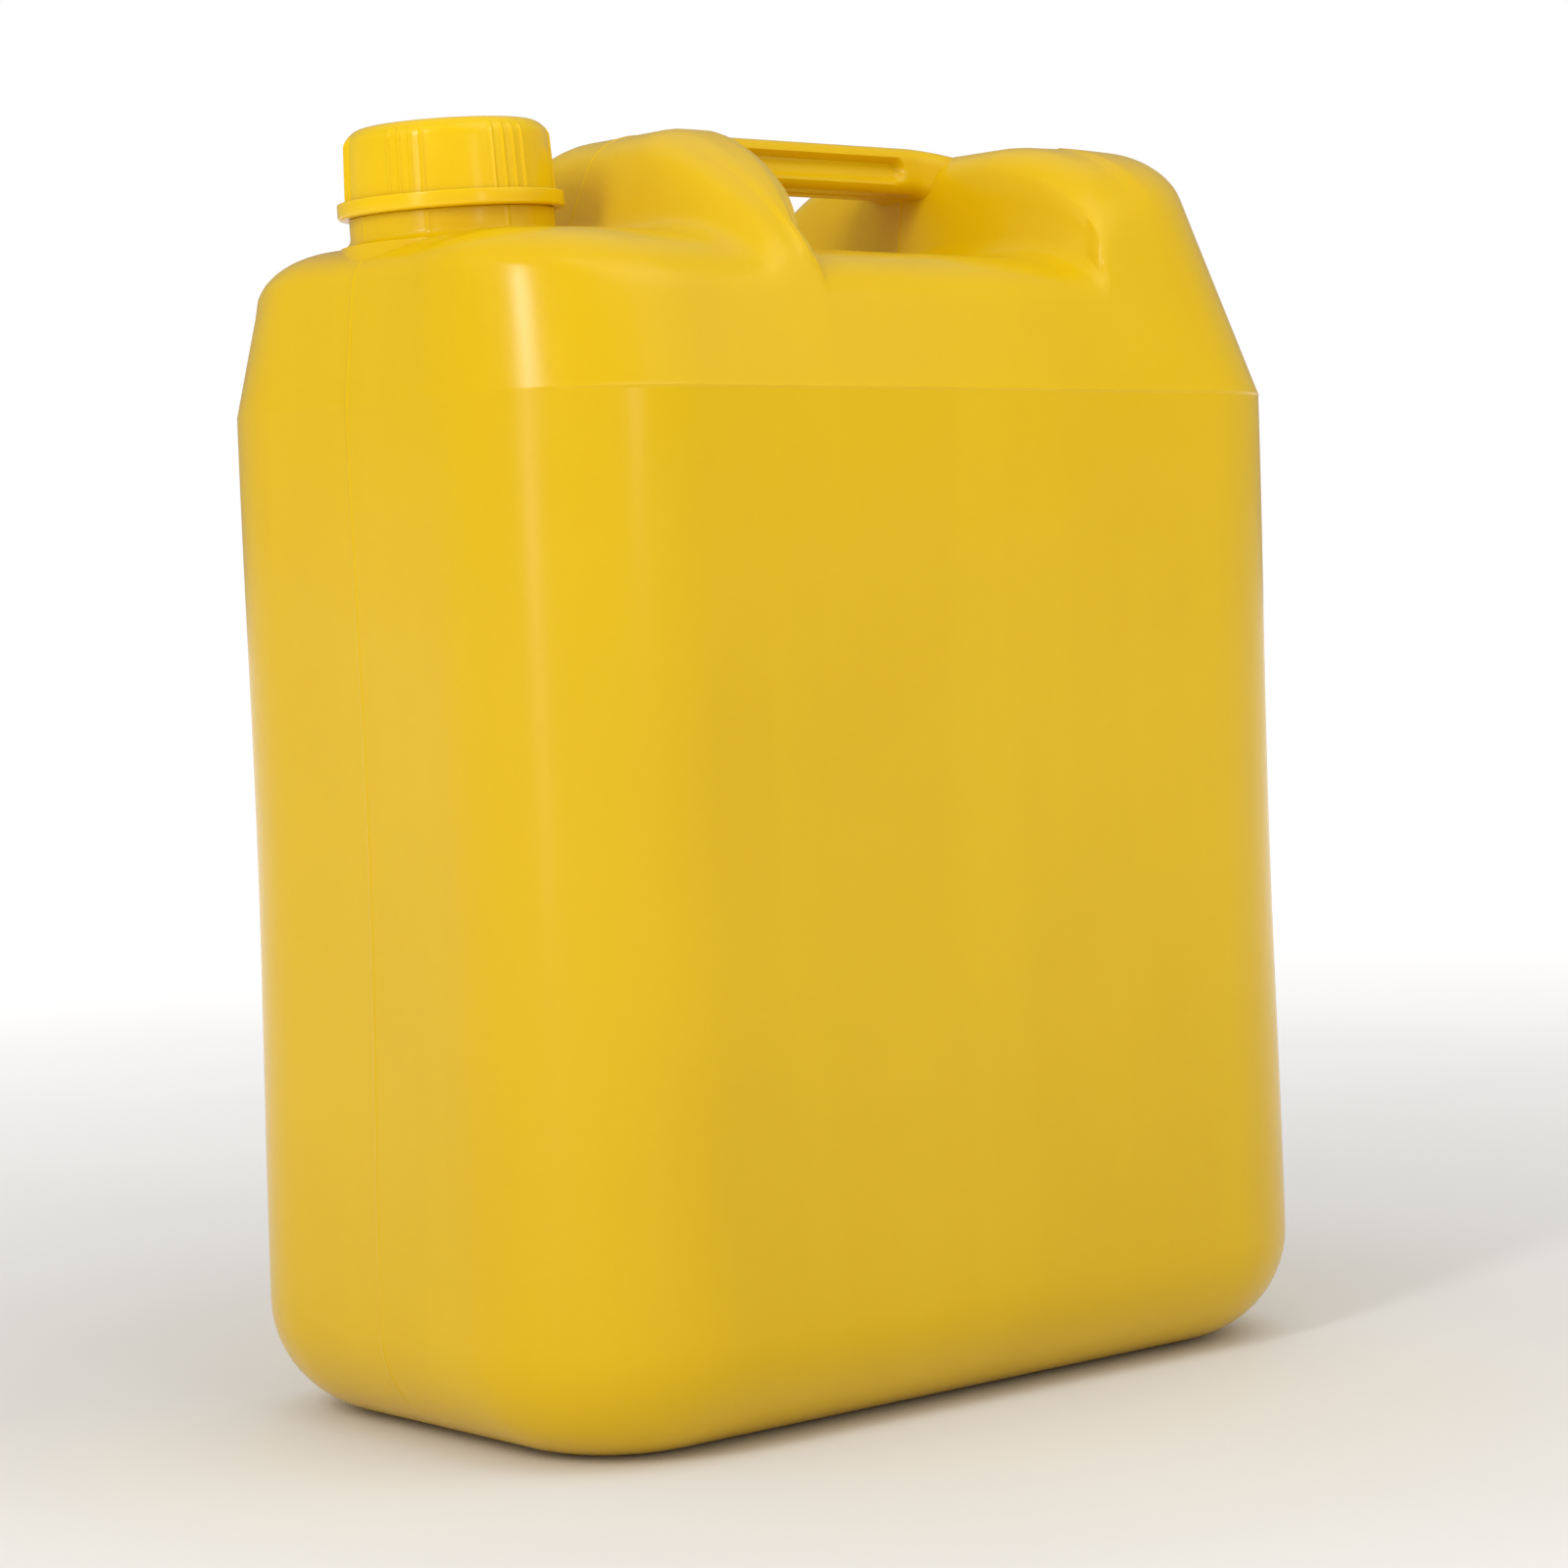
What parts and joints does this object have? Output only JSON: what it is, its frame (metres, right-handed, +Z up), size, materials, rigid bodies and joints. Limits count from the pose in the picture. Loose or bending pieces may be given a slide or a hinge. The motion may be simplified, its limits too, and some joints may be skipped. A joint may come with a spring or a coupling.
{
  "type": "jerry can",
  "caption": "Blow-moulded plastic jerry can with a moulded-in grip between two humps and a ribbed screw cap on a corner neck.",
  "frame": {"origin": "middle of the base, on the plane the can stands on", "axes": "+Z up; -X towards the neck and cap; Y across the can, with the mould's parting plane at Y = 0"},
  "size_m": [0.3224, 0.197, 0.3946],
  "materials": {
    "body_plastic": "satin",
    "cap_plastic": "gloss",
    "liner_foam": "matte"
  },
  "bodies": {
    "can": {"body": "body_plastic", "tamper_ring": "cap_plastic"},
    "seal": {"cap_liner": "liner_foam"},
    "cap": {"screw_cap": "cap_plastic"}
  },
  "joints": [
    {"name": "cap_rise", "type": "slide", "parent": "can", "child": "seal", "axis": [-0.0454, 0, 0.999], "range_m": [0, 0.018]},
    {"name": "cap_turn", "type": "hinge", "parent": "seal", "child": "cap", "pos_m": [-0.1191, 0, 0.359], "axis": [-0.0454, 0, 0.999], "range_deg": [0, 1080]}
  ],
  "couplings": [
    {"joint": "cap_rise", "follows": "cap_turn", "m_per_rad": 0.00095493}
  ]
}
